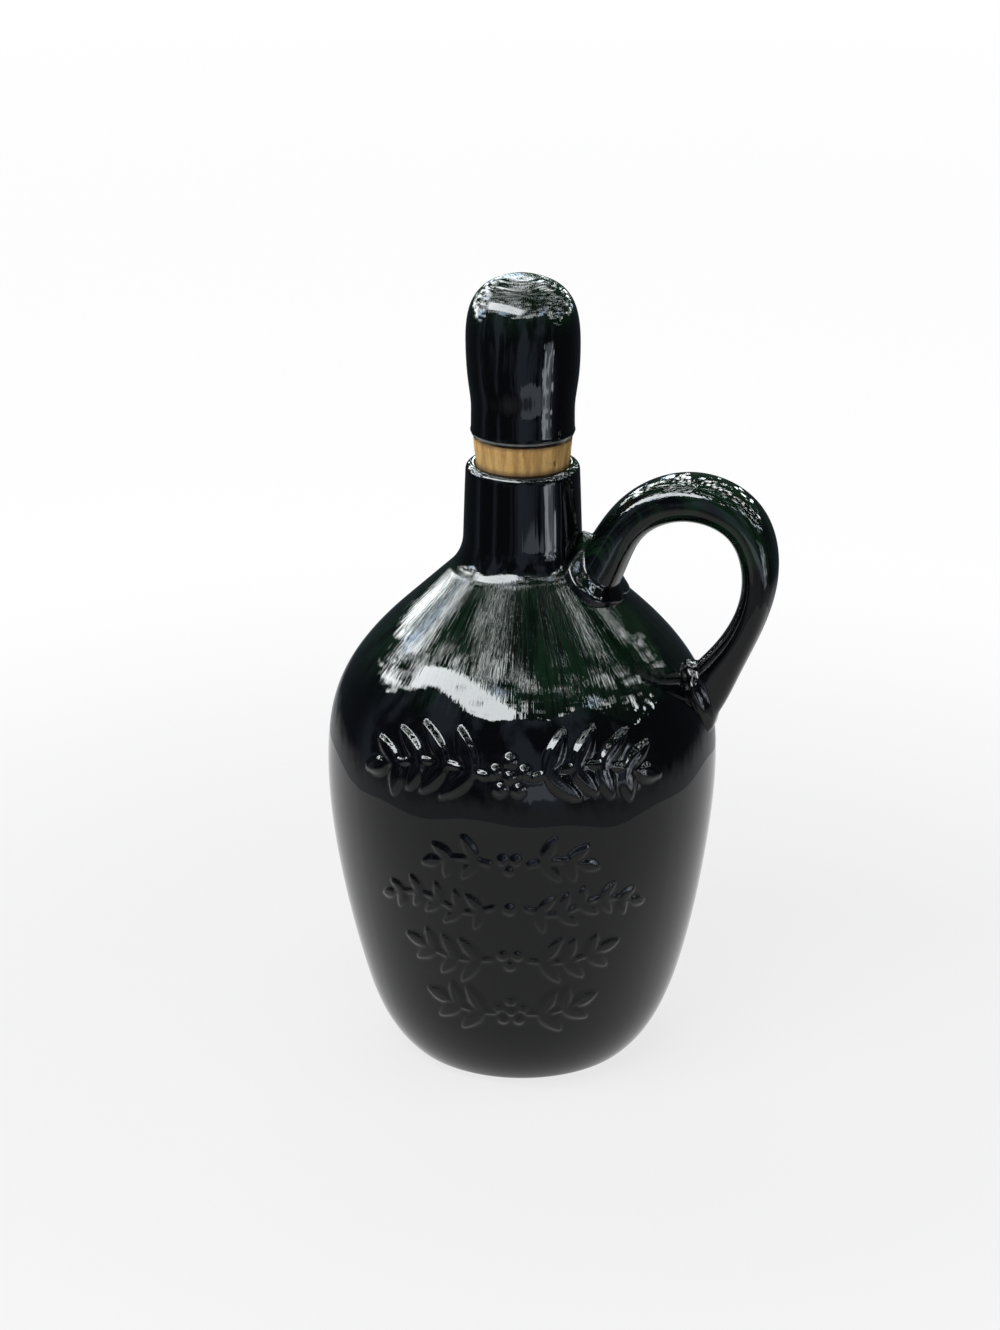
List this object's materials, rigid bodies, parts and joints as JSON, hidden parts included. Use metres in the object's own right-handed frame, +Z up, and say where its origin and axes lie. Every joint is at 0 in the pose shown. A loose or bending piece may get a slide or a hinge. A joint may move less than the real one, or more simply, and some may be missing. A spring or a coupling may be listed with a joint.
{
  "type": "jug",
  "caption": "Glossy black glazed stoneware jug with an egg-shaped body, short neck, round loop handle and a cork stopper with a glazed bulb head.",
  "frame": {"origin": "centre of the foot ring, on the plane that the jug stands on", "axes": "+Z up along the wheel axis, +X towards the handle, +Y to the jug's left when the handle is at the right"},
  "size_m": [0.1419, 0.1236, 0.2539],
  "materials": {
    "glaze": "glossy black glaze on stoneware",
    "cork": "natural cork, cut smooth",
    "adhesive": "set adhesive, hidden"
  },
  "bodies": {
    "jug": {"jug_body": "glaze", "handle": "glaze"},
    "stopper": {"stopper_head": "glaze", "stopper_cork": "cork", "stopper_glue": "adhesive"}
  },
  "joints": [
    {"name": "stopper_lift", "type": "slide", "parent": "jug", "child": "stopper", "axis": [0, 0, 1], "range_m": [0, 0.06]}
  ]
}
